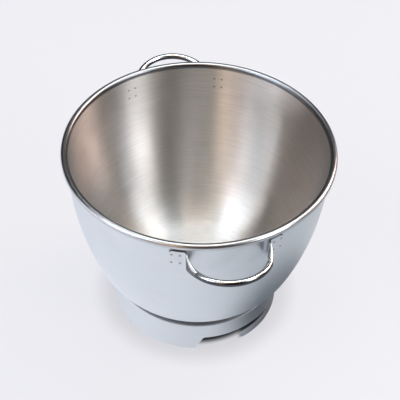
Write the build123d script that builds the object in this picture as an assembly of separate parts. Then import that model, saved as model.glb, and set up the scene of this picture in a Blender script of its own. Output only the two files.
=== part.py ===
"""Stainless stand mixer bowl: a deep-drawn bowl, two welded loop handles and a twist-lock foot ring.

Millimetres, +Z up. The origin is on the bowl's axis in the plane that the foot stands on. The two
handles lie along the Y axis, and angles round the bowl are counted from the front handle, at -Y.
"""
import os
from math import asin, atan2, cos, degrees, radians, sin, sqrt

from build123d import *

# Bowl, one drawn sheet
RIM_RADIUS = 130.0          # outside of the rolled rim
BOWL_SHEET = 1.0
BEAD_RADIUS = 3.3           # outside of the roll
BEAD_END = -120.0           # cut edge of the roll, degrees about the roll's centre
TAPER = 1.5                 # lean of the wall under the rim, degrees from upright
TAPER_LENGTH = 21.0
SIDE_RADIUS = 315.0         # long curve of the side wall
SIDE_END = 20.8             # lean where the side curve hands over to the belly
BELLY_RADIUS = 89.0
BELLY_BELOW_SEAT = 2.3      # length of belly left between the foot's seat and the knuckle
KNUCKLE_RADIUS = 35.0       # last curve into the level floor
CROWN_BASE_RADIUS = 32.0    # raised middle of the floor
CROWN_RISE = 6.0
CROWN_BLEND = 20.0

# Foot ring, a skirt of rolled sheet with its top turned in under the bowl
FOOT_RADIUS = 84.5
FOOT_SHEET = 1.2
FOOT_BEND = 3.5             # outside radius where the skirt turns in
FOOT_HEIGHT = 34.1          # upright part of the skirt, up to that bend
SEAT_LENGTH = 8.2           # turned-in seat, along the belly

# Twist lock cut in the skirt: a notch, and a slot that runs on from it over a ledge
LOCK_COUNT = 2
LOCK_START = -12.8          # angle of the notch's plain side at the bottom edge
ENTRY_FLARE = 6.2           # angle by which that side leans in
ENTRY_HEIGHT = 16.4
ENTRY_ANGLE = 26.5          # width of the notch at its top
SLOT_ANGLE = 27.5           # length of the slot beyond the notch
SLOT_TAPER_ANGLE = 16.5     # last stretch of the slot, where its upper edge slopes down
SLOT_END_HEIGHT = 13.4      # height of the upper edge at the closed end
LEDGE_HEIGHT = 9.4
LEDGE_RAKE = 3.4            # angle by which the ledge's free end leans
LEDGE_BULGE = 1.3           # how far the ledge is pressed out
LOCK_CORNER = 1.2
TOOL_REACH = 12.0           # how far the cutting tools pass the skirt

# Handles: round rod, beaten flat at both ends and turned along the wall
ROD_DIAMETER = 6.0
LOOP_RADIUS = 37.0          # centre line of the loop
LOOP_RISE = 10.3            # slope of the loop, degrees
LEG_STRAIGHT = 1.5          # from the fold to the start of the loop
FLATTEN_ANGLE = 30.0        # stretch of the loop over which the rod is beaten flat
FLATTEN_STEPS = 5
BLADE_THICKNESS = 1.5
BLADE_HEIGHT = 20.5
BLADE_DROP = 18.75          # middle of the flat below the centre of the rolled rim
FOLD_RADIUS = 3.5           # centre line of the fold onto the wall
TAB_LENGTH = 13.0           # from the fold to the end of the tab, along the wall
TAB_CORNER = 4.0
ROUND_SEAM = 0.02           # straight left between the rod's two half rounds

# Spot welds, shallow marks on each tab
WELD_DIAMETER = 2.8
WELD_DEPTH = 0.25
WELD_SPREAD_WIDTH = 7.6
WELD_SPREAD_HEIGHT = 10.0

SAME_POINT = 0.01


def outward_normal(lean):
    """Outward normal of a wall that leans by this angle, as a radius and a height."""
    return Vector(cos(radians(lean)), -sin(radians(lean)))


def down_wall(lean):
    """Direction down a wall that leans by this angle."""
    return Vector(-sin(radians(lean)), -cos(radians(lean)))


# From the centre of the rolled rim to the belly's centre, by way of the taper and the side curve
RIM_TO_WALL = outward_normal(TAPER) * (BOWL_SHEET - BEAD_RADIUS)
WALL_TO_SIDE = down_wall(TAPER) * TAPER_LENGTH
SIDE_TO_BELLY = outward_normal(SIDE_END) * (SIDE_RADIUS - BELLY_RADIUS)
RIM_TO_BELLY = RIM_TO_WALL + WALL_TO_SIDE - outward_normal(TAPER) * SIDE_RADIUS + SIDE_TO_BELLY

# The foot carries the belly: where its bend meets the belly, and where its seat stops
BELLY_OUT = RIM_RADIUS - BEAD_RADIUS + RIM_TO_BELLY.X
BEND_OUT = FOOT_RADIUS - FOOT_BEND - BELLY_OUT
BEND_DROP = sqrt((BELLY_RADIUS + FOOT_BEND) ** 2 - BEND_OUT**2)
BEND_CENTRE = Vector(FOOT_RADIUS - FOOT_BEND, FOOT_HEIGHT)
BELLY_CENTRE = Vector(BELLY_OUT, FOOT_HEIGHT + BEND_DROP)
SEAT_START = degrees(atan2(BEND_DROP, BEND_OUT))
SEAT_END = SEAT_START + degrees(SEAT_LENGTH / BELLY_RADIUS)
BELLY_END = SEAT_END + degrees(BELLY_BELOW_SEAT / BELLY_RADIUS)

# The bowl's outer face, as a line and arcs that follow on from the rolled rim
BEAD_CENTRE = BELLY_CENTRE - RIM_TO_BELLY
WALL_TOP = BEAD_CENTRE + RIM_TO_WALL
SIDE_TOP = WALL_TOP + WALL_TO_SIDE
SIDE_CENTRE = BELLY_CENTRE - SIDE_TO_BELLY
KNUCKLE_CENTRE = BELLY_CENTRE + outward_normal(BELLY_END) * (BELLY_RADIUS - KNUCKLE_RADIUS)
FLOOR_HEIGHT = KNUCKLE_CENTRE.Y - KNUCKLE_RADIUS
CROWN_RADIUS = (CROWN_BASE_RADIUS**2 + CROWN_RISE**2) / (2 * CROWN_RISE) - CROWN_BLEND
CROWN_CENTRE = Vector(0, FLOOR_HEIGHT + CROWN_RISE - CROWN_RADIUS)
BLEND_CENTRE = Vector(CROWN_BASE_RADIUS, FLOOR_HEIGHT + CROWN_BLEND)


def arc(centre, radius, start, end):
    """Arc about a centre, its angles in degrees counted up from the outward direction."""
    angles = (start, (start + end) / 2, end)
    points = [centre + Vector(cos(radians(a)), sin(radians(a))) * radius for a in angles]
    return ThreePointArc(*points)


def wall_face(inset):
    """Section of the wall's face this far inside its outer face, from the rim in to the axis."""
    top = WALL_TOP - outward_normal(TAPER) * inset
    side_top = SIDE_TOP - outward_normal(TAPER) * inset
    crown_turn = degrees(asin(CROWN_BASE_RADIUS / (CROWN_RADIUS + CROWN_BLEND)))
    knuckle = arc(KNUCKLE_CENTRE, KNUCKLE_RADIUS - inset, -BELLY_END, -90)
    blend = arc(BLEND_CENTRE, CROWN_BLEND - inset, -90, -90 - crown_turn)
    return [
        Line(top, side_top),
        arc(SIDE_CENTRE, SIDE_RADIUS - inset, -TAPER, -SIDE_END),
        arc(BELLY_CENTRE, BELLY_RADIUS - inset, -SIDE_END, -BELLY_END),
        knuckle,
        Line(knuckle @ 1, blend @ 0),
        blend,
        arc(CROWN_CENTRE, CROWN_RADIUS + inset, 90 - crown_turn, 90),
    ]


def turned(edges):
    """Solid of revolution about the bowl's axis from a closed section."""
    return revolve(Plane.XZ * make_face(edges), Axis.Z)


def around(angle, height, radius):
    """Point at this angle from the front handle."""
    return Vector(radius * sin(radians(angle)), -radius * cos(radians(angle)), height)


def make_bowl():
    """Wall and floor of one thickness, the rim rolled outwards and down."""
    outer = wall_face(0)
    inner = wall_face(BOWL_SHEET)
    roll_outside = arc(BEAD_CENTRE, BEAD_RADIUS, 180 - TAPER, BEAD_END)
    roll_inside = arc(BEAD_CENTRE, BEAD_RADIUS - BOWL_SHEET, 180 - TAPER, BEAD_END)
    cut_edge = Line(roll_outside @ 1, roll_inside @ 1)
    on_axis = Line(outer[-1] @ 1, inner[-1] @ 1)
    return turned([*outer, on_axis, *inner, roll_outside, cut_edge, roll_inside])


def make_foot_blank():
    """Skirt, bend, and a seat that lies against the belly, before the lock is cut."""
    inside = FOOT_RADIUS - FOOT_SHEET
    seat_top = arc(BELLY_CENTRE, BELLY_RADIUS, -SEAT_START, -SEAT_END)
    seat_under = arc(BELLY_CENTRE, BELLY_RADIUS + FOOT_SHEET, -SEAT_END, -SEAT_START)
    return turned([
        Line((FOOT_RADIUS, 0), (FOOT_RADIUS, BEND_CENTRE.Y)),
        arc(BEND_CENTRE, FOOT_BEND, 0, 180 - SEAT_START),
        seat_top,
        Line(seat_top @ 1, seat_under @ 0),
        seat_under,
        arc(BEND_CENTRE, FOOT_BEND - FOOT_SHEET, 180 - SEAT_START, 0),
        Line((inside, BEND_CENTRE.Y), (inside, 0)),
        Line((inside, 0), (FOOT_RADIUS, 0)),
    ])


# Angles of the twist lock at the notch's top
NOTCH_LEFT = LOCK_START + ENTRY_FLARE
NOTCH_RIGHT = NOTCH_LEFT + ENTRY_ANGLE
SLOT_CLOSED = NOTCH_RIGHT + SLOT_ANGLE
TOOL_OVERLAP = ENTRY_ANGLE / 4


def ledge_rib(depth):
    """Round-backed rib, ball-ended at the slot's closed end, this deep under the ledge's face."""
    half = LEDGE_HEIGHT / 2
    back = (half**2 + LEDGE_BULGE**2) / (2 * LEDGE_BULGE)
    spine = FOOT_RADIUS + LEDGE_BULGE - back
    start = NOTCH_RIGHT - TOOL_OVERLAP
    end = SLOT_CLOSED - degrees(half / FOOT_RADIUS)
    section = Plane.XZ * Pos(spine, half) * Circle(back - depth)
    rib = revolve(Rot(0, 0, start - 90) * section, Axis.Z, end - start)
    return rib + Pos(*around(end, half, spine)) * Sphere(back - depth)


def skirt_tool(middle, outline, rounded):
    """Tool that cuts an outline of angles and heights through the skirt, some corners rounded."""
    corners = [(FOOT_RADIUS * sin(radians(angle - middle)), height) for angle, height in outline]
    sketch = make_face(Polyline(*corners, close=True))
    picked = [
        vertex
        for vertex in sketch.vertices()
        for index in rounded
        if (Vector(vertex) - Vector(*corners[index])).length < SAME_POINT
    ]
    face = Plane(
        origin=around(middle, 0, FOOT_RADIUS),
        x_dir=around(middle + 90, 0, 1),
        z_dir=around(middle, 0, 1),
    )
    return extrude(face * fillet(picked, LOCK_CORNER), TOOL_REACH, both=True)


def lock_tool():
    """Notch with one flared side, then the slot over the ledge's raked end."""
    below = -TOOL_REACH
    flare = ENTRY_FLARE / ENTRY_HEIGHT
    rake = LEDGE_RAKE / LEDGE_HEIGHT
    flared_side = [
        (LOCK_START + flare * below, below),
        (NOTCH_LEFT, ENTRY_HEIGHT),
        (NOTCH_LEFT + TOOL_OVERLAP, ENTRY_HEIGHT),
        (NOTCH_LEFT + TOOL_OVERLAP, below),
    ]
    ledge_side = [
        (NOTCH_RIGHT - TOOL_OVERLAP, below),
        (NOTCH_RIGHT - TOOL_OVERLAP, ENTRY_HEIGHT),
        (NOTCH_RIGHT + TOOL_OVERLAP, ENTRY_HEIGHT),
        (NOTCH_RIGHT + TOOL_OVERLAP, LEDGE_HEIGHT),
        (NOTCH_RIGHT, LEDGE_HEIGHT),
        (NOTCH_RIGHT + LEDGE_RAKE - rake * below, below),
    ]
    slot_start = NOTCH_RIGHT + TOOL_OVERLAP / 2
    slot = [
        (slot_start, LEDGE_HEIGHT),
        (slot_start, ENTRY_HEIGHT),
        (SLOT_CLOSED - SLOT_TAPER_ANGLE, ENTRY_HEIGHT),
        (SLOT_CLOSED, SLOT_END_HEIGHT),
        (SLOT_CLOSED, LEDGE_HEIGHT),
    ]
    middle_section = Pos(FOOT_RADIUS, (ENTRY_HEIGHT + below) / 2) * Rectangle(
        2 * TOOL_REACH, ENTRY_HEIGHT - below
    )
    middle_start = NOTCH_LEFT + TOOL_OVERLAP / 2
    notch = revolve(
        Rot(0, 0, middle_start - 90) * (Plane.XZ * middle_section),
        Axis.Z,
        ENTRY_ANGLE - TOOL_OVERLAP,
    )
    return (
        notch
        + skirt_tool(NOTCH_LEFT, flared_side, [1])
        + skirt_tool(NOTCH_RIGHT, ledge_side, [4])
        + skirt_tool((slot_start + SLOT_CLOSED) / 2, slot, [3, 4])
    )


def make_foot_ring():
    """Foot blank with each ledge pressed out and each lock cut through."""
    rib = ledge_rib(0)
    rib_inside = ledge_rib(FOOT_SHEET)
    rib_top = rib.bounding_box().max.Z
    bore = Pos(0, 0, rib_top / 2) * Cylinder(FOOT_RADIUS - FOOT_SHEET, rib_top)
    under = Pos(0, 0, -TOOL_REACH) * Cylinder(FOOT_RADIUS + TOOL_REACH, 2 * TOOL_REACH)
    pressed_out = rib - bore - under
    tool = lock_tool()
    ring = make_foot_blank()
    for k in range(LOCK_COUNT):
        turn = Rot(0, 0, 360 / LOCK_COUNT * k)
        ring = ring + turn * pressed_out - turn * rib_inside - turn * tool
    return ring


def rod_section(flat):
    """Section of the rod, standing upright, from round at 0 to beaten fully flat at 1."""
    thickness = ROD_DIAMETER * (BLADE_THICKNESS / ROD_DIAMETER) ** flat
    height = ROD_DIAMETER * (BLADE_HEIGHT / ROD_DIAMETER) ** flat + ROUND_SEAM * (1 - flat)
    return SlotOverall(height, thickness, rotation=90)


def make_handle():
    """Front handle: round loop, two legs that flatten, and a folded tab on the wall at each side."""
    height = BEAD_CENTRE.Y - BLADE_DROP
    on_wall = WALL_TOP + down_wall(TAPER) * ((WALL_TOP.Y - height) / cos(radians(TAPER)))
    tab_centre = on_wall + outward_normal(TAPER) * (BLADE_THICKNESS / 2)
    lean = Rot(0, 0, -TAPER)

    fold_axis_radius = tab_centre.X + FOLD_RADIUS
    fold_angle = degrees(asin((LOOP_RADIUS + FOLD_RADIUS) / fold_axis_radius))
    fold_centre = around(fold_angle, tab_centre.Y, fold_axis_radius)
    against_wall = Plane.XZ * Pos(tab_centre.X, tab_centre.Y) * lean * rod_section(1)
    tab_start = Rot(0, 0, fold_angle - 90) * against_wall
    tab_end = fold_angle + degrees(TAB_LENGTH / tab_centre.X)
    tab = revolve(tab_start, Axis.Z, tab_end - fold_angle)
    fold = revolve(tab_start, Axis(fold_centre, (0, 0, 1)), 90 - fold_angle)

    outline_plane = Plane(
        origin=around(tab_end, tab_centre.Y, tab_centre.X),
        x_dir=around(tab_end + 90, 0, 1),
        z_dir=around(tab_end, 0, 1),
    )
    outline = Pos(-LOOP_RADIUS / 2, 0) * RectangleRounded(LOOP_RADIUS, BLADE_HEIGHT, TAB_CORNER)
    flat_end = (tab + fold) & extrude(outline_plane * outline, LOOP_RADIUS, both=True)
    flat_end = flat_end - weld_marks((fold_angle + tab_end) / 2, tab_centre)

    rise = radians(LOOP_RISE)
    across = Vector(1, 0, 0)
    outward = Vector(0, -cos(rise), sin(rise))
    leg_foot = Vector(LOOP_RADIUS, fold_centre.Y, tab_centre.Y)
    loop_centre = Vector(0, leg_foot.Y, leg_foot.Z) + outward * LEG_STRAIGHT

    def loop_plane(turn):
        radial = across * cos(radians(turn)) + outward * sin(radians(turn))
        heading = outward * cos(radians(turn)) - across * sin(radians(turn))
        return Plane(origin=loop_centre + radial * LOOP_RADIUS, x_dir=radial, z_dir=heading)

    sections = [Plane(origin=leg_foot, x_dir=across, z_dir=(0, -1, 0)) * lean * rod_section(1)]
    for step in range(1, FLATTEN_STEPS + 1):
        share = step / FLATTEN_STEPS
        sections.append(loop_plane(FLATTEN_ANGLE * share) * rod_section(1 - share))
    leg = loft(sections)
    path = [loop_plane(turn).origin for turn in (FLATTEN_ANGLE, 90, 180 - FLATTEN_ANGLE)]
    rod = sweep(loop_plane(FLATTEN_ANGLE) * rod_section(0), ThreePointArc(*path))
    side = leg + flat_end
    return rod + side + mirror(side, Plane.YZ)


def weld_marks(middle, tab_centre):
    """Tools for the four shallow round marks of the spot welds on one tab."""
    marks = []
    half_turn = degrees(WELD_SPREAD_WIDTH / 2 / tab_centre.X)
    for angle in (middle - half_turn, middle + half_turn):
        for rise in (-WELD_SPREAD_HEIGHT / 2, WELD_SPREAD_HEIGHT / 2):
            face = tab_centre.X + BLADE_THICKNESS / 2 + rise * sin(radians(TAPER))
            spot = Plane(
                origin=around(angle, tab_centre.Y + rise, face - WELD_DEPTH),
                z_dir=around(angle, 0, 1),
            )
            marks.append(extrude(spot * Circle(WELD_DIAMETER / 2), BLADE_THICKNESS))
    return marks


handle = make_handle()
nodes = {
    "bowl": make_bowl(),
    "foot_ring": make_foot_ring(),
    "handle_front": handle,
    "handle_rear": Rot(0, 0, 180) * handle,
}

os.makedirs("parts", exist_ok=True)
for name, solid in nodes.items():
    export_step(solid, f"parts/{name}.step")
    print(name, round(solid.volume), solid.bounding_box().size)
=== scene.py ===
"""Stainless stand mixer bowl on a pale floor, seen from above its front handle.

Metres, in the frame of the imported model: the bowl's axis is Z, the foot stands on z = 0 and the
two handles lie along Y. Angles round the bowl are counted from the front handle, at -Y.
"""
import math
from contextlib import contextmanager
from functools import cache, partial

import bmesh
import bpy
import numpy as np
from mathutils import Matrix, Vector


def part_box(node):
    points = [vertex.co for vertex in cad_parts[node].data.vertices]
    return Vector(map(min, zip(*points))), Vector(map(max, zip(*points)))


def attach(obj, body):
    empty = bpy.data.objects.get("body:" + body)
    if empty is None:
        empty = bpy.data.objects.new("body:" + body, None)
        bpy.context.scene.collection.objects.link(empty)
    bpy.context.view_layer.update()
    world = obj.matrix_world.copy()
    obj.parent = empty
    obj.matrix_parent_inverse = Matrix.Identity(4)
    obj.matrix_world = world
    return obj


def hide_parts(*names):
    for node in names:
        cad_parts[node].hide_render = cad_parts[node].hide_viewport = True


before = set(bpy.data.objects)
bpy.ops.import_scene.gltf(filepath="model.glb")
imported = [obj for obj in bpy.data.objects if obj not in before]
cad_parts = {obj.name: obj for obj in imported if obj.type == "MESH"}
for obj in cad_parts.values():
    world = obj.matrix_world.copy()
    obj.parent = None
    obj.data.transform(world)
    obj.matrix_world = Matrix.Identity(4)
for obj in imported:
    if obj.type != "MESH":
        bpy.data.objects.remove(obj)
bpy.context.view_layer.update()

MM = 0.001

# Sizes read from the frame
RIM_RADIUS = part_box("bowl")[1].x
RIM_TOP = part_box("bowl")[1].z
FOOT_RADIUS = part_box("foot_ring")[1].x
FOOT_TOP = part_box("foot_ring")[1].z

# Bowl
BOWL_SHEET = 1.0 * MM
BEAD_RADIUS = 3.3 * MM
BEAD_END = math.radians(-120)
TAPER = math.radians(1.5)
TAPER_LENGTH = 21 * MM
SIDE_RADIUS = 315 * MM
SIDE_END = math.radians(20.8)
BELLY_RADIUS = 89 * MM
BELLY_BELOW_SEAT = 2.3 * MM
KNUCKLE_RADIUS = 35 * MM
CROWN_BASE_RADIUS = 32 * MM
CROWN_RISE = 6 * MM
CROWN_BLEND = 20 * MM

# Foot ring
FOOT_SHEET = 1.2 * MM
FOOT_BEND = 3.5 * MM
SEAT_LENGTH = 8.2 * MM

# Twist lock
LOCK_COUNT = 2
LOCK_START = math.radians(-12.8)
ENTRY_FLARE = math.radians(6.2)
ENTRY_HEIGHT = 16.4 * MM
ENTRY_ANGLE = math.radians(26.5)
SLOT_ANGLE = math.radians(27.5)
SLOT_TAPER_ANGLE = math.radians(16.5)
SLOT_END_HEIGHT = 13.4 * MM
SLOT_END_LIFT = 0.1 * MM
LEDGE_HEIGHT = 9.4 * MM
LEDGE_RAKE = math.radians(3.4)
LEDGE_BULGE = 1.3 * MM
LOCK_CORNER = 1.2 * MM
CUT_BELOW_FLOOR = 3 * MM
CUT_EACH_WAY = 6 * MM

# Handles
ROD_DIAMETER = 6 * MM
LOOP_RADIUS = 37 * MM
LOOP_RISE = math.radians(10.3)
LEG_STRAIGHT = 1.5 * MM
FLATTEN_ANGLE = math.radians(30)
BLADE_THICKNESS = 1.5 * MM
BLADE_HEIGHT = 20.5 * MM
BLADE_DROP = 18.75 * MM
FOLD_RADIUS = 3.5 * MM
TAB_LENGTH = 13 * MM
TAB_CORNER = 4 * MM
TAB_EDGE = 0.4 * MM

# Spot welds
WELD_RADIUS = 1.4 * MM
WELD_DEPTH = 0.25 * MM
WELD_SPREAD_WIDTH = 7.6 * MM
WELD_SPREAD_HEIGHT = 10 * MM

# Meshes: points round each piece, the share of the roll's radius that a face of the roll lies
# within, the angles past which an edge is sharp, and the gaps that are merged
BOWL_COLUMNS = 300
SKIRT_COLUMNS = 720
ROD_COLUMNS = 112
ROLL_MARGIN = 1.02
CREASE = math.radians(35)
ROD_CREASE = math.radians(60)
SAME_POINT = 0.001 * MM
CUT_SLIVER = 0.03 * MM
NO_STEP = 1e-7

# Finishes
WALL_STEEL = {
    "colour": (0.74, 0.76, 0.78),
    "roughness": 0.38,
    "unevenness": 0.02,
    "anisotropic": 0.6,
    "relief": 0.04,
    "lines": 900,
    "length": 4,
}
LINE_DEPTH = 0.2 * MM
SMUDGE_CLEAN = 0.52
SMUDGE_FULL = 0.74
SMUDGE_FINER = 9.0
SMUDGE_SHADE = (0.82, 0.80, 0.78)
SMUDGE_ROUGHNESS = 0.25
WELD_MARK_CORE = 0.6
WELD_MARK_STRENGTH = 0.6
WELD_SHADE = (0.60, 0.58, 0.57)
# Painted shade, multiplied into the colour: roll, crevice, tab's top edge and rod's underside
ROLL_PAINTED_SHADE = (0.38, 0.40, 0.42)
CREVICE_PAINTED_SHADE = (0.45, 0.47, 0.49)
TAB_EDGE_PAINTED_SHADE = (0.25, 0.25, 0.26)
ROD_PAINTED_SHADE = (0.16, 0.16, 0.17)

# Floor and room as the steel sees them: the floor's glow is painted light, bright to the left,
# with a painted shadow of the bowl on the right
FLOOR_REACH = 4.0
BRIGHT_SIDE_X = -0.10
DIM_SIDE_X = 0.16
PAINTED_BRIGHT_SIDE = (0.95, 0.98, 1.04)
PAINTED_DIM_SIDE = (0.68, 0.72, 0.77)
SHADOW_MIDDLE = (0.102, -0.068)
SHADOW_CORE = 0.03
SHADOW_EDGE = 0.115
PAINTED_SHADOW = (0.08, 0.11, 0.14)
DARK_ROOM = (0.01, 0.01, 0.01)
BLACK = (0.0, 0.0, 0.0)

# Floor and room as the camera sees them: pale, with painted contact shade round the foot, and
# painted shade inside the foot ring but for painted light at the notch
PAPER = (0.12, 0.12, 0.12)
OPEN_FLOOR = (0.76, 0.76, 0.795)
PAINTED_CONTACT_SHADE = (0.62, 0.62, 0.65)
CONTACT_WIDTH = 30 * MM
NOTCH_PALE_X = 26 * MM
NOTCH_DARK_X = 36 * MM
FOOT_DARK_INSET = 11 * MM
FOOT_PALE_INSET = 3 * MM
PALE_ROOM = (0.86, 0.87, 0.91)

# Softboxes face the bowl, at a share of its height, and each is one band of light in its steel:
# name, angle round the bowl, elevation, width and height, in degrees, brightness and colour
SOFTBOX_DISTANCE = 2.6
SOFTBOX_AIM = 0.7
SOFTBOXES = (
    ("left_low", -81, 7, 50, 7, 5.5, (0.97, 0.92, 1.0)),
    ("left_mid", -71, 40, 42, 27, 3.3, (0.78, 0.86, 1.0)),
    ("left_high", -81, 51, 50, 10, 4.2, (0.96, 1.0, 1.0)),
    ("left_strip", -33, 24, 9, 24, 3.4, (1.0, 0.66, 0.42)),
    ("left_front_high", -41, 59, 20, 20, 2.0, (1.0, 0.86, 0.72)),
    ("right_front", 44, 29, 22, 13, 10.6, (1.0, 0.98, 0.98)),
    ("right_high", 63, 52, 39, 24, 2.9, (0.96, 0.98, 1.0)),
    ("right_low", 102, 27, 34, 16, 7.4, (1.0, 0.74, 0.64)),
    ("right_back", 112, 52, 15, 29, 7.2, (1.0, 0.95, 0.90)),
    ("back", -165, 62, 24, 11, 4.4, (0.90, 0.92, 1.0)),
    ("over_back", 165, 76, 129, 28, 3.6, (0.86, 0.95, 1.0)),
    ("over_front", 0, 77, 92, 14, 2.6, (1.0, 0.74, 0.55)),
)

# Camera: its angle and elevation in degrees, its sensor and lens in millimetres
CAMERA_ANGLE = -13.4
CAMERA_ELEVATION = 44.86
CAMERA_ROLL = math.radians(1.69)
CAMERA_DISTANCE = 1.04
CAMERA_SENSOR = 36
CAMERA_LENS = 94.9
AIM_ASIDE = 2.1 * MM
AIM_HEIGHT = 127.7 * MM
CONTRAST = 0.85


# Surfaces


def outward_normal(lean):
    """Outward normal, as radius and height, of a wall that leans by this angle."""
    return np.array([math.cos(lean), -math.sin(lean)])


def down_wall(lean):
    """Direction, as radius and height, down a wall that leans by this angle."""
    return np.array([-math.sin(lean), -math.cos(lean)])


def arc(centre, radius, start, end, count):
    """Points of an arc: the centre plus the radius at angles counted up from outwards."""
    angles = np.linspace(start, end, count)
    return np.asarray(centre) + radius * np.column_stack([np.cos(angles), np.sin(angles)])


def line(start, end, count):
    """Evenly spaced points from one place to another, or angles from one to another."""
    return np.linspace(start, end, count)


def chained(*runs):
    """Runs of points end to end, each repeated joint kept once."""
    points = np.vstack(runs)
    steps = np.linalg.norm(np.diff(points, axis=0), axis=1)
    return points[np.append(True, steps > NO_STEP)]


def travelled(points):
    """Distance travelled along a run of points, from 0 at its start."""
    steps = np.linalg.norm(np.diff(points, axis=0), axis=1)
    return np.append(0, np.cumsum(steps))


def around(angle, height, radius):
    """Places at an angle from the front handle, a height, and a distance from the axis.

    X is the distance times the angle's sine, and Y is minus the distance times its cosine.
    """
    angle, height, radius = np.broadcast_arrays(angle, height, radius)
    return np.stack([radius * np.sin(angle), -radius * np.cos(angle), height], axis=-1)


def grid_mesh(name, places, across, along, closed_rows=True):
    """Mesh over a grid of places, rows by columns, with a UV map of the two running distances.

    Each row is a closed ring, and the last row joins the first where the rows are closed too.
    """
    rows, columns = places.shape[:2]
    index = np.arange(rows * columns).reshape(rows, columns)
    right = np.roll(index, -1, axis=1)
    below = np.roll(index, -1, axis=0)
    diagonal = np.roll(right, -1, axis=0)
    faces = np.stack([index, right, diagonal, below], axis=-1)
    last_row = rows if closed_rows else rows - 1
    faces = faces[:last_row].reshape(-1, 4)

    mesh = bpy.data.meshes.new(name)
    mesh.from_pydata(places.reshape(-1, 3).tolist(), [], faces.tolist())
    uv_across = np.append(across, across[-1] + (across[1] - across[0]))
    uv_along = np.append(along, along[-1] + (along[1] - along[0]))
    row, column = np.divmod(faces[:, 0], columns)
    corner_rows = np.stack([row, row, row + 1, row + 1], axis=1)
    corner_columns = np.stack([column, column + 1, column + 1, column], axis=1)
    uv = np.stack([uv_across[corner_columns], uv_along[corner_rows]], axis=-1)
    mesh.uv_layers.new(name="run").data.foreach_set("uv", uv.ravel())
    return mesh


@contextmanager
def opened(mesh):
    """The mesh opened for work on its points and faces, and written back afterwards."""
    work = bmesh.new()
    work.from_mesh(mesh)
    yield work
    work.to_mesh(mesh)
    work.free()


def placed(name, data):
    """Object of a mesh, light or camera, put into the scene."""
    thing = bpy.data.objects.new(name, data)
    bpy.context.scene.collection.objects.link(thing)
    return thing


def finished(mesh, name, crease=CREASE):
    """Object of a mesh whose doubles are merged, faces turned outwards and sharp edges marked."""
    with opened(mesh) as work:
        bmesh.ops.remove_doubles(work, verts=work.verts, dist=SAME_POINT)
        bmesh.ops.recalc_face_normals(work, faces=work.faces)
    mesh.polygons.foreach_set("use_smooth", [True] * len(mesh.polygons))
    mesh.set_sharp_from_angle(angle=crease)
    return placed(name, mesh)


def made_triangles(mesh, apart=SAME_POINT):
    """Merge points of a mesh less than this apart and split its faces into triangles.

    A skirt and a tool of triangles leave no bent faces where one is cut with the other.
    """
    with opened(mesh) as work:
        bmesh.ops.remove_doubles(work, verts=work.verts, dist=apart)
        bmesh.ops.triangulate(work, faces=work.faces)


def face_vectors(mesh, kind):
    """One vector of a kind, such as the centre or the normal, for each face of a mesh."""
    values = np.empty(len(mesh.polygons) * 3)
    mesh.polygons.foreach_get(kind, values)
    return values.reshape(-1, 3)


# Section of the bowl, worked out from the rim down to the belly that stands in the foot

RIM_TO_WALL = outward_normal(TAPER) * (BOWL_SHEET - BEAD_RADIUS)
WALL_TO_SIDE = down_wall(TAPER) * TAPER_LENGTH
SIDE_TO_BELLY = outward_normal(SIDE_END) * (SIDE_RADIUS - BELLY_RADIUS)
BEAD_CENTRE = np.array([RIM_RADIUS - BEAD_RADIUS, RIM_TOP - BEAD_RADIUS])
WALL_TOP = BEAD_CENTRE + RIM_TO_WALL
SIDE_TOP = WALL_TOP + WALL_TO_SIDE
SIDE_CENTRE = SIDE_TOP - outward_normal(TAPER) * SIDE_RADIUS
BELLY_CENTRE = SIDE_CENTRE + SIDE_TO_BELLY
BEND_CENTRE = np.array([FOOT_RADIUS - FOOT_BEND, FOOT_TOP - FOOT_BEND])
SEAT_START = math.atan2(BELLY_CENTRE[1] - BEND_CENTRE[1], BEND_CENTRE[0] - BELLY_CENTRE[0])
SEAT_END = SEAT_START + SEAT_LENGTH / BELLY_RADIUS
BELLY_END = SEAT_END + BELLY_BELOW_SEAT / BELLY_RADIUS
KNUCKLE_CENTRE = BELLY_CENTRE + outward_normal(BELLY_END) * (BELLY_RADIUS - KNUCKLE_RADIUS)
FLOOR_HEIGHT = KNUCKLE_CENTRE[1] - KNUCKLE_RADIUS
CROWN_RADIUS = (CROWN_BASE_RADIUS**2 + CROWN_RISE**2) / (2 * CROWN_RISE) - CROWN_BLEND
CROWN_CENTRE = np.array([0, FLOOR_HEIGHT + CROWN_RISE - CROWN_RADIUS])
BLEND_CENTRE = np.array([CROWN_BASE_RADIUS, FLOOR_HEIGHT + CROWN_BLEND])
CROWN_TURN = math.asin(CROWN_BASE_RADIUS / (CROWN_RADIUS + CROWN_BLEND))
DOWN = math.radians(-90)

# The middle of a handle's tab on the wall, and the fold that ends it
BLADE_MIDDLE = BEAD_CENTRE[1] - BLADE_DROP
WALL_AT_BLADE = WALL_TOP + down_wall(TAPER) * ((WALL_TOP[1] - BLADE_MIDDLE) / math.cos(TAPER))
TAB_RADIUS, TAB_HEIGHT = WALL_AT_BLADE + outward_normal(TAPER) * BLADE_THICKNESS / 2
FOLD_OUT = TAB_RADIUS + FOLD_RADIUS
FOLD_ANGLE = math.asin((LOOP_RADIUS + FOLD_RADIUS) / FOLD_OUT)
TAB_END = FOLD_ANGLE + TAB_LENGTH / TAB_RADIUS
TAB_MIDDLE = (FOLD_ANGLE + TAB_END) / 2
FOLDED_RUN = TAB_LENGTH + FOLD_RADIUS * (math.pi / 2 - FOLD_ANGLE)

# The notch's two sides and the slot's closed end, as angles
NOTCH_LEFT = LOCK_START + ENTRY_FLARE
NOTCH_RIGHT = NOTCH_LEFT + ENTRY_ANGLE
SLOT_CLOSED = NOTCH_RIGHT + SLOT_ANGLE


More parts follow.
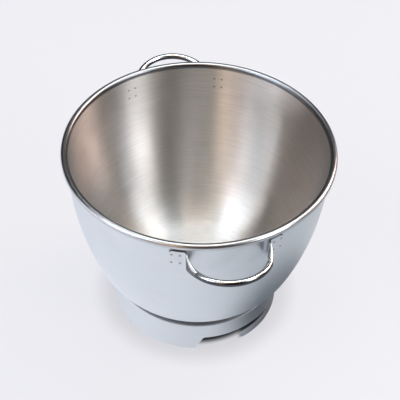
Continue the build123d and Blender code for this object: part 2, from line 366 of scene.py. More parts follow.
def wall_face(inset):
    """The wall's face this far inside its outer face: line and arcs from the rim to the axis."""
    side_top = SIDE_TOP - outward_normal(TAPER) * inset
    knuckle = arc(KNUCKLE_CENTRE, KNUCKLE_RADIUS - inset, -BELLY_END, DOWN, count=16)
    blend = arc(BLEND_CENTRE, CROWN_BLEND - inset, DOWN, DOWN - CROWN_TURN, count=8)
    return chained(
        line(WALL_TOP - outward_normal(TAPER) * inset, side_top, count=8),
        arc(SIDE_CENTRE, SIDE_RADIUS - inset, -TAPER, -SIDE_END, count=30),
        arc(BELLY_CENTRE, BELLY_RADIUS - inset, -SIDE_END, -BELLY_END, count=26),
        knuckle,
        line(knuckle[-1], blend[0], count=6),
        blend,
        arc(CROWN_CENTRE, CROWN_RADIUS + inset, -DOWN - CROWN_TURN, -DOWN, count=12),
    )


def make_bowl():
    """The drawn sheet: inner face, roll and outer face as one closed section.

    Each point of the section is carried round the axis at its own radius and height. A face is of
    the roll where it lies within the roll's radius of its centre, and otherwise inside or outside
    by the way it faces.
    """
    start = math.pi - TAPER
    inner = wall_face(BOWL_SHEET)[::-1]
    roll_outside = arc(BEAD_CENTRE, BEAD_RADIUS, start, BEAD_END, count=40)
    roll_inside = arc(BEAD_CENTRE, BEAD_RADIUS - BOWL_SHEET, BEAD_END, start, count=24)
    section = chained(inner, roll_outside, roll_inside, wall_face(0))
    angles = np.linspace(0, 2 * math.pi, BOWL_COLUMNS, endpoint=False)
    places = around(angles, section[:, None, 1], section[:, None, 0])
    mesh = grid_mesh("bowl_sheet", places, angles / (2 * math.pi), travelled(section))
    piece = finished(mesh, "bowl_sheet")

    for material in (steel_inside(), steel_rim(), steel_outside()):
        mesh.materials.append(material)
    inside_index, rim_index, outside_index = range(3)
    centres = face_vectors(mesh, "center")
    normals = face_vectors(mesh, "normal")
    radius = np.hypot(centres[:, 0], centres[:, 1])
    outwards = np.sum(centres[:, :2] * normals[:, :2], axis=1) > 0
    from_bead = np.hypot(radius - BEAD_CENTRE[0], centres[:, 2] - BEAD_CENTRE[1])
    on_rim = from_bead < BEAD_RADIUS * ROLL_MARGIN
    on_floor = radius < KNUCKLE_CENTRE[0]
    outside = np.where(on_floor, normals[:, 2] < 0, outwards)
    finish = np.where(outside, outside_index, inside_index)
    mesh.polygons.foreach_set("material_index", np.where(on_rim, rim_index, finish))
    return piece


# Foot ring


def ledge_press(angle, height):
    """How far the ledge is pressed out: a round back across its height, and a ball at its end.

    The press is an arc's height over the skirt: the root of the arc's radius squared less the
    distance squared from its middle, less the depth of the arc's centre behind the skirt.
    """
    half = LEDGE_HEIGHT / 2
    back = (half**2 + LEDGE_BULGE**2) / (2 * LEDGE_BULGE)
    ball_angle = SLOT_CLOSED - half / FOOT_RADIUS
    past = np.maximum((angle - ball_angle) * FOOT_RADIUS, 0)
    off = np.hypot(past, height - half)
    press = np.sqrt(np.maximum(back**2 - off**2, 0)) - (back - LEDGE_BULGE)
    on_ledge = angle > NOTCH_LEFT + ENTRY_ANGLE / 2
    return np.where(on_ledge, np.maximum(press, 0), 0)


def lock_outline():
    """Outline of notch and slot as angles and heights, its long edges subdivided.

    Each corner is rounded off in two cuts, which meet at a middle point that stands in from both
    edges, and less from the notch's leaning edge.
    """
    below = -CUT_BELOW_FLOOR
    flare = ENTRY_FLARE / ENTRY_HEIGHT
    rake = LEDGE_RAKE / LEDGE_HEIGHT
    side = LOCK_CORNER / FOOT_RADIUS
    middle_side = side * 0.3
    middle_down = LOCK_CORNER * 0.3
    leaning_side = side * 0.1
    corners = [
        (LOCK_START + flare * below, below),
        (NOTCH_LEFT - flare * LOCK_CORNER, ENTRY_HEIGHT - LOCK_CORNER),
        (NOTCH_LEFT + leaning_side, ENTRY_HEIGHT - middle_down),
        (NOTCH_LEFT + side, ENTRY_HEIGHT),
        (SLOT_CLOSED - SLOT_TAPER_ANGLE, ENTRY_HEIGHT),
        (SLOT_CLOSED - side, SLOT_END_HEIGHT + SLOT_END_LIFT),
        (SLOT_CLOSED - middle_side, SLOT_END_HEIGHT - middle_down),
        (SLOT_CLOSED, SLOT_END_HEIGHT - LOCK_CORNER),
        (SLOT_CLOSED, LEDGE_HEIGHT + LOCK_CORNER),
        (SLOT_CLOSED - middle_side, LEDGE_HEIGHT + middle_down),
        (SLOT_CLOSED - side, LEDGE_HEIGHT),
        (NOTCH_RIGHT + side, LEDGE_HEIGHT),
        (NOTCH_RIGHT + middle_side, LEDGE_HEIGHT - middle_down),
        (NOTCH_RIGHT + rake * LOCK_CORNER, LEDGE_HEIGHT - LOCK_CORNER),
        (NOTCH_RIGHT + LEDGE_RAKE - rake * below, below),
    ]
    longest = math.radians(1.5)
    runs = []
    for start, end in zip(corners, corners[1:] + corners[:1]):
        count = 2 + int(abs(end[0] - start[0]) / longest)
        runs.append(line(start, end, count)[:-1])
    return np.vstack(runs)


def lock_tool(turn):
    """Closed block that follows the skirt: the lock's outline carried from inside to outside."""
    outline = lock_outline()
    angles = outline[:, 0] + turn
    inner_ring = around(angles, outline[:, 1], FOOT_RADIUS - CUT_EACH_WAY)
    outer_ring = around(angles, outline[:, 1], FOOT_RADIUS + CUT_EACH_WAY)
    count = len(outline)
    first = np.arange(count)
    following = np.roll(first, -1)
    walls = np.column_stack([first, following, following + count, first + count])
    faces = [*walls.tolist(), first.tolist(), (first + count).tolist()]
    mesh = bpy.data.meshes.new("lock_tool")
    mesh.from_pydata(np.vstack([inner_ring, outer_ring]).tolist(), [], faces)
    with opened(mesh) as work:
        bmesh.ops.recalc_face_normals(work, faces=work.faces)
    made_triangles(mesh)
    return placed("lock_tool", mesh)


def skirt_section():
    """Closed section of the foot ring: up the skirt, over the bend and seat, and back inside."""
    inside = FOOT_RADIUS - FOOT_SHEET
    bend_turn = math.pi - SEAT_START
    over_lock = ENTRY_HEIGHT + 1 * MM
    seat_under_radius = BELLY_RADIUS + FOOT_SHEET
    return chained(
        line((FOOT_RADIUS, 0), (FOOT_RADIUS, over_lock), count=26),
        line((FOOT_RADIUS, over_lock), (FOOT_RADIUS, BEND_CENTRE[1]), count=8),
        arc(BEND_CENTRE, FOOT_BEND, 0, bend_turn, count=14),
        arc(BELLY_CENTRE, BELLY_RADIUS, -SEAT_START, -SEAT_END, count=8),
        arc(BELLY_CENTRE, seat_under_radius, -SEAT_END, -SEAT_START, count=8),
        arc(BEND_CENTRE, FOOT_BEND - FOOT_SHEET, bend_turn, 0, count=8),
        line((inside, BEND_CENTRE[1]), (inside, over_lock), count=4),
        line((inside, over_lock), (inside, 0), count=20),
    )


def make_foot_ring():
    """Skirt, bend and seat turned round, the ledges pressed out and the locks cut through.

    The seam lies between two locks, and each angle is brought back to its own lock's turn.
    """
    section = skirt_section()
    seam = -math.pi / 4
    period = 2 * math.pi / LOCK_COUNT
    angles = np.linspace(seam, 2 * math.pi + seam, SKIRT_COLUMNS, endpoint=False)
    within = (angles - seam) % period + seam
    height = section[:, None, 1]
    press = np.where(height < ENTRY_HEIGHT, ledge_press(within[None, :], height), 0)
    places = around(angles, height, section[:, None, 0] + press)
    mesh = grid_mesh("foot_skirt", places, angles / (2 * math.pi), travelled(section))
    piece = finished(mesh, "foot_skirt")

    made_triangles(mesh)
    tools = [lock_tool(k * period) for k in range(LOCK_COUNT)]
    for tool in tools:
        cut = piece.modifiers.new("lock", "BOOLEAN")
        cut.object = tool
        cut.operation = "DIFFERENCE"
        cut.solver = "EXACT"
    bpy.context.view_layer.update()
    graph = bpy.context.evaluated_depsgraph_get()
    cut_mesh = bpy.data.meshes.new_from_object(piece.evaluated_get(graph))
    piece.modifiers.clear()
    piece.data = cut_mesh
    for tool in tools:
        bpy.data.objects.remove(tool)
    made_triangles(cut_mesh, CUT_SLIVER)
    cut_mesh.set_sharp_from_angle(angle=CREASE)
    cut_mesh.materials.clear()
    cut_mesh.materials.append(steel_foot())
    return piece


# Handles


def handle_stations():
    """Stations of half a handle, from the tab's end to the middle of the loop.

    The tab follows the wall's circle, the fold turns outwards on a small circle, and the loop is
    half a circle in a plane that rises from the wall. Each station has its place, the directions
    that the section's thin and tall ways follow, and how far the rod is beaten flat, from 0 to 1.
    """
    up = np.array([0.0, 0.0, 1.0])
    across = np.array([1.0, 0.0, 0.0])
    outward = np.array([0, -math.cos(LOOP_RISE), math.sin(LOOP_RISE)])

    tab = line(TAB_END, FOLD_ANGLE, count=36)
    tab_thin = around(tab, 0.0, 1.0)
    tab_places = around(tab, TAB_HEIGHT, TAB_RADIUS)

    fold = line(FOLD_ANGLE, math.pi / 2, count=16)[1:]
    fold_thin = around(fold, 0.0, 1.0)
    fold_places = around(FOLD_ANGLE, TAB_HEIGHT, FOLD_OUT) - fold_thin * FOLD_RADIUS

    beaten = line(0, FLATTEN_ANGLE, count=40)
    turn = np.append(beaten, line(FLATTEN_ANGLE, math.pi / 2, count=36)[1:])
    radial = np.cos(turn)[:, None] * across + np.sin(turn)[:, None] * outward
    loop_start = fold_places[-1] + outward * LEG_STRAIGHT
    loop_places = loop_start + (radial - across) * LOOP_RADIUS
    flat = np.clip(1 - turn / FLATTEN_ANGLE, 0, 1)

    lean = np.array([math.sin(TAPER), 0, math.cos(TAPER)])
    loop_tall = np.array([0, math.sin(LOOP_RISE), math.cos(LOOP_RISE)])
    places = np.vstack([tab_places, fold_places, loop_places])
    thin = np.vstack([tab_thin, fold_thin, radial])
    tall = np.vstack([
        tab_thin * math.sin(TAPER) + up * math.cos(TAPER),
        fold_thin * math.sin(TAPER) + up * math.cos(TAPER),
        flat[:, None] * lean + (1 - flat[:, None]) * loop_tall,
    ])
    flat = np.append(np.ones(len(tab) + len(fold)), flat)
    return places, thin, tall, flat


def make_handle(name, rear=False):
    """Rod with beaten ends: a stadium section, its height and thickness set by how flat it is.

    A point of the section is half the height times the sine of its angle up, and sideways what is
    left of the round edge there. The tab's corners shorten the section, and each weld dents it by
    its depth times 1 less the fourth power of the distance over the weld's radius.
    """
    places, thin, tall, flat = handle_stations()
    tall = tall / np.linalg.norm(tall, axis=1, keepdims=True)
    thin = thin - tall * np.sum(thin * tall, axis=1, keepdims=True)
    thin = thin / np.linalg.norm(thin, axis=1, keepdims=True)
    run = travelled(places)
    thickness = ROD_DIAMETER * (BLADE_THICKNESS / ROD_DIAMETER) ** flat
    height = ROD_DIAMETER * (BLADE_HEIGHT / ROD_DIAMETER) ** flat
    into_corner = np.clip(TAB_CORNER - run, 0, TAB_CORNER)
    height = height - 2 * (TAB_CORNER - np.sqrt(TAB_CORNER**2 - into_corner**2))
    into_edge = np.clip(1 - run / TAB_EDGE, 0, 1)
    thickness = thickness * np.sqrt(1 - into_edge**2)

    angles = np.linspace(-math.pi / 2, 1.5 * math.pi, ROD_COLUMNS, endpoint=False)
    rise = height[:, None] / 2 * np.sin(angles)
    straight = (height - thickness)[:, None] / 2
    past = np.maximum(np.abs(rise) - straight, 0)
    edge = np.sqrt(np.maximum((thickness[:, None] / 2) ** 2 - past**2, 0))
    side = edge * np.sign(np.cos(angles))

    for across in TAB_LENGTH / 2 + np.array([-0.5, 0.5]) * WELD_SPREAD_WIDTH:
        for up in (-WELD_SPREAD_HEIGHT / 2, WELD_SPREAD_HEIGHT / 2):
            off = np.hypot(run[:, None] - across, rise - up) / WELD_RADIUS
            dent = WELD_DEPTH * np.clip(1 - off**4, 0, 1)
            side = side - np.where(side > 0, dent, 0)

    half = places[:, None] + thin[:, None] * side[..., None] + tall[:, None] * rise[..., None]
    mirrored = half[-2::-1] * np.array([-1.0, 1.0, 1.0])
    whole = np.concatenate([half, mirrored])
    if rear:
        whole = whole * np.array([-1.0, -1.0, 1.0])
    length = np.concatenate([run, 2 * run[-1] - run[-2::-1]])
    mesh = grid_mesh(name, whole, angles, length, closed_rows=False)
    piece = finished(mesh, name, ROD_CREASE)

    mesh.materials.append(steel_tab())
    mesh.materials.append(steel_rod(length[-1]))
    first_corner = np.empty(len(mesh.polygons), dtype=int)
    mesh.polygons.foreach_get("loop_start", first_corner)
    corner_uv = np.empty(len(mesh.loops) * 2)
    mesh.uv_layers["run"].data.foreach_get("uv", corner_uv)
    gone = corner_uv.reshape(-1, 2)[first_corner, 1]
    past_fold = np.minimum(gone, length[-1] - gone) > FOLDED_RUN
    mesh.polygons.foreach_set("material_index", past_fold.astype(int))
    return piece


# Nodes


def nodes_of(tree):
    """Short ways to add a node, with its settings and values, and a link to a node tree."""

    def add(kind, **settings):
        """New node of a kind. A setting is an input's value where the node has such an input."""
        node = tree.nodes.new(kind)
        for key, value in settings.items():
            if key in node.inputs:
                node.inputs[key].default_value = value
            else:
                setattr(node, key, value)
        return node

    def link(source, target):
        """Link from an output to an input."""
        tree.links.new(source, target)

    return add, link


def feed(tree, value, socket):
    """Link a socket to another, or set it to a plain value."""
    if isinstance(value, bpy.types.NodeSocket):
        tree.links.new(value, socket)
    else:
        socket.default_value = value


def maths(tree, operation, *values, clamp=False):
    """Result of a sum on values, each a number or a socket."""
    node = tree.nodes.new("ShaderNodeMath")
    node.operation = operation
    node.use_clamp = clamp
    for socket, value in zip(node.inputs, values):
        feed(tree, value, socket)
    return node.outputs["Value"]


def soft_step(tree, value, start, end, first=0.0, last=1.0):
    """Number that goes softly from first to last as a value goes from start to end."""
    ends = {"From Min": start, "From Max": end, "To Min": first, "To Max": last}
    add, link = nodes_of(tree)
    step = add("ShaderNodeMapRange", interpolation_type="SMOOTHSTEP", **ends)
    link(value, step.inputs["Value"])
    return step.outputs["Result"]


def mixed(tree, first, second, share, blend="MIX"):
    """Colour between two, each a plain colour or a socket, by a share that is a socket."""
    add, link = nodes_of(tree)
    mix = add("ShaderNodeMix", data_type="RGBA", blend_type=blend)
    for name, colour in (("A", first), ("B", second)):
        feed(tree, (*colour, 1) if isinstance(colour, tuple) else colour, mix.inputs[name])
    link(share, mix.inputs["Factor"])
    return mix.outputs["Result"]


def noise(tree, place, scale, **settings):
    """Noise at a place, its scale a number or a socket."""
    add, link = nodes_of(tree)
    texture = add("ShaderNodeTexNoise", **settings)
    link(place, texture.inputs["Vector"])
    feed(tree, scale, texture.inputs["Scale"])
    return texture.outputs["Fac"]


def object_place(tree):
    """Place of a point, in the frame that every piece shares."""
    return tree.nodes.new("ShaderNodeTexCoord").outputs["Object"]


def level_place(tree):
    """Place of a point with its height taken out: from the bowl's axis to the point."""
    add, link = nodes_of(tree)
    flat = add("ShaderNodeVectorMath", operation="MULTIPLY")
    flat.inputs[1].default_value = (1, 1, 0)
    link(object_place(tree), flat.inputs[0])
    return flat.outputs["Vector"]


def radius_at(tree):
    """Distance of a point from the bowl's axis."""
    add, link = nodes_of(tree)
    length = add("ShaderNodeVectorMath", operation="LENGTH")
    link(level_place(tree), length.inputs[0])
    return length.outputs["Value"]


def parts_of(tree, vector):
    """The X, Y and Z of a vector."""
    add, link = nodes_of(tree)
    split = add("ShaderNodeSeparateXYZ")
    link(vector, split.inputs["Vector"])
    return split.outputs


def run_at(tree):
    """UV map of a point: X round the bowl or round the rod, and Y along the section or the rod."""
    run = tree.nodes.new("ShaderNodeUVMap")
    run.uv_map = "run"
    return parts_of(tree, run.outputs["UV"])


# Effects that several finishes share


def new_group(name, inputs, outputs):
    """Empty shader node group with named number inputs, their usual values, and number outputs."""
    group = bpy.data.node_groups.new(name, "ShaderNodeTree")
    for socket, value in inputs.items():
        made = group.interface.new_socket(socket, in_out="INPUT", socket_type="NodeSocketFloat")
        made.default_value = value
    for socket in outputs:
        group.interface.new_socket(socket, in_out="OUTPUT", socket_type="NodeSocketFloat")
    return group


@cache
def ring_brushing_group():
    """Group of fine lines round the bowl: noise long round the axis and short along the section.

    Height is the lines themselves. Cloud is a slow unevenness of the whole surface.
    """
    usual = {"Lines": 900.0, "Length": 1.5, "Patch": 14.0}
    group = new_group("ring_brushing", usual, ("Height", "Cloud"))
    add, link = nodes_of(group)
    given = add("NodeGroupInput")
    wanted = add("NodeGroupOutput")
    unit = add("ShaderNodeVectorMath", operation="NORMALIZE")
    link(level_place(group), unit.inputs[0])
    round_axis = add("ShaderNodeVectorMath", operation="SCALE")
    link(unit.outputs["Vector"], round_axis.inputs[0])
    link(given.outputs["Length"], round_axis.inputs["Scale"])
    along = add("ShaderNodeCombineXYZ")
    link(maths(group, "MULTIPLY", run_at(group)["Y"], given.outputs["Lines"]), along.inputs["Z"])
    drawn_out = add("ShaderNodeVectorMath", operation="ADD")
    link(round_axis.outputs["Vector"], drawn_out.inputs[0])
    link(along.outputs["Vector"], drawn_out.inputs[1])
    grain = noise(group, drawn_out.outputs["Vector"], 1.0, Detail=5.0, Roughness=0.65)
    cloud = noise(group, object_place(group), given.outputs["Patch"], Detail=3.0, Roughness=0.55)
    link(grain, wanted.inputs["Height"])
    link(cloud, wanted.inputs["Cloud"])
    return group


@cache
def weld_marks_group():
    """Group of the spot welds' marks on the wall behind each handle's tabs.

    The distance to the nearest of four spots: arc length from the tab's middle, less half the
    spots' spread, and height from it, less half their spread.
    """
    group = new_group("weld_marks", {"Radius": WELD_RADIUS}, ("Mark",))
    add, link = nodes_of(group)
    given = add("NodeGroupInput")
    wanted = add("NodeGroupOutput")
    calc = partial(maths, group)

    def from_spot(value, middle, spread):
        """Distance one way from the nearer of two spots this far apart about a middle."""
        return calc("SUBTRACT", calc("ABSOLUTE", calc("SUBTRACT", value, middle)), spread / 2)

    place = parts_of(group, object_place(group))
    turn = calc("ARCTAN2", calc("ABSOLUTE", place["X"]), calc("ABSOLUTE", place["Y"]))
    run = calc("MULTIPLY", turn, TAB_RADIUS)
    off_run = from_spot(run, TAB_MIDDLE * TAB_RADIUS, WELD_SPREAD_WIDTH)
    off_rise = from_spot(place["Z"], TAB_HEIGHT, WELD_SPREAD_HEIGHT)
    squares = calc("ADD", calc("POWER", off_run, 2.0), calc("POWER", off_rise, 2.0))
    share = calc("DIVIDE", calc("SQRT", squares), given.outputs["Radius"])
    mark = soft_step(group, share, WELD_MARK_CORE, 1.0, first=1.0, last=0.0)
    link(mark, wanted.inputs["Mark"])
    return group


@cache
def smudges_group():
    """Group of faint smudges from handling: soft patches, broken up by finer ones."""
    group = new_group("smudges", {"Scale": 22.0, "Amount": 0.5}, ("Mask",))
    add, link = nodes_of(group)
    given = add("NodeGroupInput")
    wanted = add("NodeGroupOutput")
    place = object_place(group)
    scale = given.outputs["Scale"]
    finer_scale = maths(group, "MULTIPLY", scale, SMUDGE_FINER)
    patches = noise(group, place, scale, Detail=4.0, Roughness=0.6, Distortion=0.8)
    finer = noise(group, place, finer_scale, Detail=3.0, Roughness=0.7)
    chosen = soft_step(group, patches, SMUDGE_CLEAN, SMUDGE_FULL)
    broken_up = maths(group, "MULTIPLY", chosen, finer)
    mask = maths(group, "MULTIPLY", broken_up, given.outputs["Amount"], clamp=True)
    link(mask, wanted.inputs["Mask"])
    return group


# Finishes


def steel(
    name,
    colour,
    roughness,
    unevenness,
    anisotropic,
    relief,
    lines,
    length,
    turn=0.25,
    welds=False,
    tone=0.05,
    smudged=0.3,
):
    """Stainless steel with fine lines round the axis.

    The roughness changes by the unevenness each way over slow patches. The relief is the strength
    of the lines in the surface, and the tone how far they change its colour. A quarter turn of
    the gloss makes it spread along the surface's second UV direction, so the lines round the bowl
    spread their light up and down the wall.
    """
    material = bpy.data.materials.new(name)
    material.use_nodes = True
    tree = material.node_tree
    add, link = nodes_of(tree)
    shader = tree.nodes["Principled BSDF"]
    shader.inputs["Metallic"].default_value = 1.0
    shader.inputs["Anisotropic"].default_value = anisotropic
    shader.inputs["Anisotropic Rotation"].default_value = turn

    brushing = add("ShaderNodeGroup", node_tree=ring_brushing_group(), Lines=lines, Length=length)
    smudges = add("ShaderNodeGroup", node_tree=smudges_group(), Amount=smudged)
    smudge = smudges.outputs["Mask"]
    gloss_ends = {"To Min": roughness - unevenness, "To Max": roughness + unevenness}
    gloss = add("ShaderNodeMapRange", **gloss_ends)
    link(brushing.outputs["Cloud"], gloss.inputs["Value"])
    rougher = maths(tree, "MULTIPLY_ADD", smudge, SMUDGE_ROUGHNESS, gloss.outputs["Result"])
    link(rougher, shader.inputs["Roughness"])

    darker = tuple(c * (1 - tone) for c in colour)
    lighter = tuple(min(c * (1 + tone), 1) for c in colour)
    lined = mixed(tree, darker, lighter, brushing.outputs["Height"])
    shade = mixed(tree, lined, SMUDGE_SHADE, smudge, "MULTIPLY")
    bump = add("ShaderNodeBump", Strength=relief, Distance=LINE_DEPTH)
    link(brushing.outputs["Height"], bump.inputs["Height"])
    if welds:
        mark = add("ShaderNodeGroup", node_tree=weld_marks_group()).outputs["Mark"]
        shade = mixed(tree, shade, WELD_SHADE, mark, "MULTIPLY")
        dent = add("ShaderNodeBump", Strength=WELD_MARK_STRENGTH, Distance=WELD_DEPTH, invert=True)
        link(mark, dent.inputs["Height"])
        link(bump.outputs["Normal"], dent.inputs["Normal"])
        bump = dent
    link(shade, shader.inputs["Base Color"])
    link(bump.outputs["Normal"], shader.inputs["Normal"])
    if anisotropic:
        tangent = add("ShaderNodeTangent", direction_type="UV_MAP", uv_map="run")
        link(tangent.outputs["Tangent"], shader.inputs["Tangent"])
    return material


def paint_shade(material, value, clean_at, dark_at, tone):
    """Paint shade: multiply a finish's colour by a dark tone as a value goes from one to another.
    """
    tree = material.node_tree
    socket = tree.nodes["Principled BSDF"].inputs["Base Color"]
    mask = soft_step(tree, value, clean_at, dark_at)
    shade = mixed(tree, socket.links[0].from_socket, tone, mask, "MULTIPLY")
    tree.links.new(shade, socket)


def dulled(material, value, clean_at, dull_at, roughness):
    """Bring a finish's roughness to another as a value goes from one number to another."""
    tree = material.node_tree
    add, link = nodes_of(tree)
    socket = tree.nodes["Principled BSDF"].inputs["Roughness"]
    gloss = add("ShaderNodeMix", data_type="FLOAT", B=roughness)
    link(soft_step(tree, value, clean_at, dull_at), gloss.inputs["Factor"])
    link(socket.links[0].from_socket, gloss.inputs["A"])
    link(gloss.outputs["Result"], socket)


def steel_inside():
    """The brushed inside: a painted warm reflection in its tint, painted shade under the roll."""
    material = steel(
        "steel_inside",
        # Warmer than the outside's colour of the same sheet: a painted warm reflection
        colour=(0.772, 0.754, 0.735),
        roughness=0.35,
        unevenness=0.04,
        anisotropic=1.0,
        relief=0.10,
        lines=520,
        length=3,
        welds=True,
        tone=0.16,
    )
    tree = material.node_tree
    height = parts_of(tree, object_place(tree))["Z"]
    clean_at = BEAD_CENTRE[1] - 2.2 * MM
    dark_at = BEAD_CENTRE[1] - 0.6 * MM
    # Painted shade: a dark line just under the roll
    paint_shade(material, height, clean_at, dark_at, ROLL_PAINTED_SHADE)
    return material


def steel_rim():
    """The roll, smooth, its darker grey and its darker inner flank both painted shade."""
    material = steel(
        "steel_rim",
        # Darker than the wall's colour of the same sheet: painted shade
        colour=(0.60, 0.60, 0.61),
        roughness=0.30,
        unevenness=0.02,
        anisotropic=0.0,
        relief=0.02,
        lines=1200,
        length=6,
    )
    clean_at = BEAD_CENTRE[0] - 1.6 * MM
    dark_at = BEAD_CENTRE[0] - 2.8 * MM
    # Painted shade on the flank towards the inside
    paint_shade(material, radius_at(material.node_tree), clean_at, dark_at, ROLL_PAINTED_SHADE)
    return material


def steel_outside():
    """The cool wall, finely brushed."""
    return steel("steel_outside", **WALL_STEEL)


def steel_foot():
    """The skirt, with painted shade in the crevice under the bowl, and duller there."""
    foot_steel = WALL_STEEL | {"colour": (0.73, 0.75, 0.77), "roughness": 0.40}
    material = steel("steel_foot", **foot_steel)
    tree = material.node_tree
    height = parts_of(tree, object_place(tree))["Z"]
    clean_at = FOOT_TOP - 3.5 * MM
    dark_at = FOOT_TOP - 1.0 * MM
    dull_at = FOOT_TOP - 1.5 * MM
    # Painted shade in the crevice under the bowl
    paint_shade(material, height, clean_at, dark_at, CREVICE_PAINTED_SHADE)
    dulled(material, height, clean_at, dull_at, roughness=0.75)
    return material


def height_on_section(tree):
    """How high a point lies on a handle's section, from -1 to 1: the sine of its UV angle."""
    return maths(tree, "SINE", run_at(tree)["X"])


@cache
def steel_tab():
    """The beaten tab, finished as the wall it is welded to, with painted shade on its top edge."""
    material = steel("steel_tab", **WALL_STEEL, turn=0.0, welds=True)
    height = height_on_section(material.node_tree)
    # Painted shade along the tab's top edge
    paint_shade(material, height, clean_at=0.93, dark_at=0.97, tone=TAB_EDGE_PAINTED_SHADE)
    return material


@cache
def steel_rod(length):
    """The rod, dull where it leaves the tab, polished round the loop, painted shade underneath."""
    material = steel(
        "steel_rod",
        colour=(0.78, 0.78, 0.78),
        roughness=0.23,
        unevenness=0.01,
        anisotropic=0.0,
        relief=0.01,
        lines=900,
        length=3,
        smudged=0.15,
    )
    tree = material.node_tree
    # Painted shade on the rod's underside
    paint_shade(material, height_on_section(tree), clean_at=0.85, dark_at=0.45, tone=ROD_PAINTED_SHADE)
    run = run_at(tree)["Y"]
    from_nearer_end = maths(tree, "MINIMUM", run, maths(tree, "SUBTRACT", length, run))
    polished_at = FOLDED_RUN + 15 * MM
    dulled(material, from_nearer_end, polished_at, FOLDED_RUN, roughness=0.42)
    return material


# Stage


def towards(angle, elevation):
    """Direction at an angle round the bowl from the front handle and an elevation, in degrees."""
    a, e = math.radians(angle), math.radians(elevation)
    return Vector((math.sin(a) * math.cos(e), -math.cos(a) * math.cos(e), math.sin(e)))


def make_floor():
    """Pale paper, its glow partly painted light.

    The camera sees it glow almost evenly pale, with painted contact shade round the foot,
    painted shade inside the foot ring and painted light at the notch. The steel sees its glow
    brighter towards the window, as painted light, with a painted shadow of the bowl on the other
    side.
    """
    sides = ((-1, -1), (1, -1), (1, 1), (-1, 1))
    corners = [(x * FLOOR_REACH, y * FLOOR_REACH, 0) for x, y in sides]
    mesh = bpy.data.meshes.new("floor")
    mesh.from_pydata(corners, [], [(0, 1, 2, 3)])
    floor = placed("floor", mesh)
    material = bpy.data.materials.new("floor_paper")
    material.use_nodes = True
    mesh.materials.append(material)
    tree = material.node_tree
    add, link = nodes_of(tree)
    shader = tree.nodes["Principled BSDF"]
    shader.inputs["Roughness"].default_value = 0.9
    shader.inputs["Specular IOR Level"].default_value = 0.0
    shader.inputs["Emission Strength"].default_value = 1.0
    place = object_place(tree)

    def ramp(value, start, end, first, last):
        """Colour that goes softly from one to another as a value goes from start to end."""
        return mixed(tree, first, last, soft_step(tree, value, start, end))

    def distance_from(point):
        """Distance of a point of the floor from another."""
        off = add("ShaderNodeVectorMath", operation="DISTANCE")
        off.inputs[1].default_value = (*point, 0)
        link(place, off.inputs[0])
        return off.outputs["Value"]

    across = parts_of(tree, place)["X"]
    # Painted light, brighter to the left, and a painted shadow of the bowl, for the steel
    painted_light = ramp(across, BRIGHT_SIDE_X, DIM_SIDE_X, PAINTED_BRIGHT_SIDE, PAINTED_DIM_SIDE)
    from_shadow = distance_from(SHADOW_MIDDLE)
    painted_for_steel = ramp(from_shadow, SHADOW_CORE, SHADOW_EDGE, PAINTED_SHADOW, painted_light)

    # Painted contact shade round the foot, painted shade under it, painted light at the notch
    from_axis = distance_from((0, 0))
    contact_end = FOOT_RADIUS + CONTACT_WIDTH
    painted_contact_floor = ramp(from_axis, FOOT_RADIUS, contact_end, PAINTED_CONTACT_SHADE, OPEN_FLOOR)
    aside = maths(tree, "ABSOLUTE", across)
    painted_notch_light = ramp(aside, NOTCH_PALE_X, NOTCH_DARK_X, painted_contact_floor, BLACK)
    dark_end = FOOT_RADIUS - FOOT_DARK_INSET
    inside = ramp(from_axis, dark_end, FOOT_RADIUS - FOOT_PALE_INSET, BLACK, painted_notch_light)
    to_camera = ramp(from_axis, FOOT_RADIUS - FOOT_SHEET, FOOT_RADIUS, inside, painted_contact_floor)

    # The glow is painted: for camera rays as the camera sees it, for other rays as the steel does
    camera_ray = add("ShaderNodeLightPath").outputs["Is Camera Ray"]
    link(ramp(camera_ray, 0.0, 1.0, painted_for_steel, to_camera), shader.inputs["Emission Color"])
    link(ramp(camera_ray, 0.0, 1.0, BLACK, PAPER), shader.inputs["Base Color"])


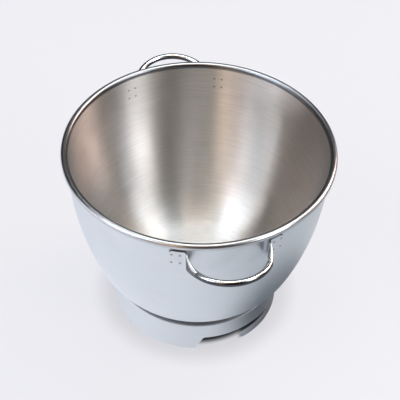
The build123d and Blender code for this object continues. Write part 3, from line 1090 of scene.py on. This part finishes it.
def make_world():
    """The room: pale to the camera, and nearly dark to the steel between the lights."""
    world = bpy.data.worlds.new("studio")
    world.use_nodes = True
    tree = world.node_tree
    camera_ray = tree.nodes.new("ShaderNodeLightPath").outputs["Is Camera Ray"]
    shade = mixed(tree, DARK_ROOM, PALE_ROOM, camera_ray)
    tree.links.new(shade, tree.nodes["Background"].inputs["Color"])
    bpy.context.scene.world = world


def softbox(name, angle, elevation, wide, high, brightness, colour):
    """Rectangular light that faces the bowl and looks this wide and high, in degrees, from it."""
    aim = Vector((0, 0, RIM_TOP * SOFTBOX_AIM))
    level_wide = wide * math.cos(math.radians(elevation))
    data = bpy.data.lights.new(name, "AREA")
    data.shape = "RECTANGLE"
    data.size = 2 * SOFTBOX_DISTANCE * math.tan(math.radians(level_wide) / 2)
    data.size_y = 2 * SOFTBOX_DISTANCE * math.tan(math.radians(high) / 2)
    data.energy = brightness * math.pi * data.size * data.size_y
    data.color = colour
    light = placed(name, data)
    light.location = aim + towards(angle, elevation) * SOFTBOX_DISTANCE
    light.rotation_euler = (aim - light.location).to_track_quat("-Z", "Y").to_euler()
    light.visible_camera = False


def make_camera():
    """The photograph's camera, its direction, roll, distance and lens fitted to rim and foot."""
    back = towards(CAMERA_ANGLE, CAMERA_ELEVATION)
    right = towards(CAMERA_ANGLE + 90, 0)
    up = back.cross(right)
    rolled_right = right * math.cos(CAMERA_ROLL) + up * math.sin(CAMERA_ROLL)
    rolled_up = back.cross(rolled_right)
    aim = right * AIM_ASIDE + Vector((0, 0, AIM_HEIGHT))
    data = bpy.data.cameras.new("camera")
    data.sensor_width = CAMERA_SENSOR
    data.lens = CAMERA_LENS
    camera = placed("camera", data)
    turned_to = Matrix((rolled_right, rolled_up, back)).transposed().to_4x4()
    camera.matrix_world = Matrix.Translation(aim + back * CAMERA_DISTANCE) @ turned_to
    bpy.context.scene.camera = camera


def dress(piece, node):
    """The piece stands for a node of the frame and rides with it."""
    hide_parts(node)
    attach(piece, "root")


dress(make_bowl(), "bowl")
dress(make_foot_ring(), "foot_ring")
dress(make_handle("loop_front"), "handle_front")
dress(make_handle("loop_rear", rear=True), "handle_rear")
make_floor()
make_world()
for values in SOFTBOXES:
    softbox(*values)
make_camera()
bpy.context.scene.view_settings.view_transform = "Standard"
bpy.context.scene.view_settings.gamma = CONTRAST
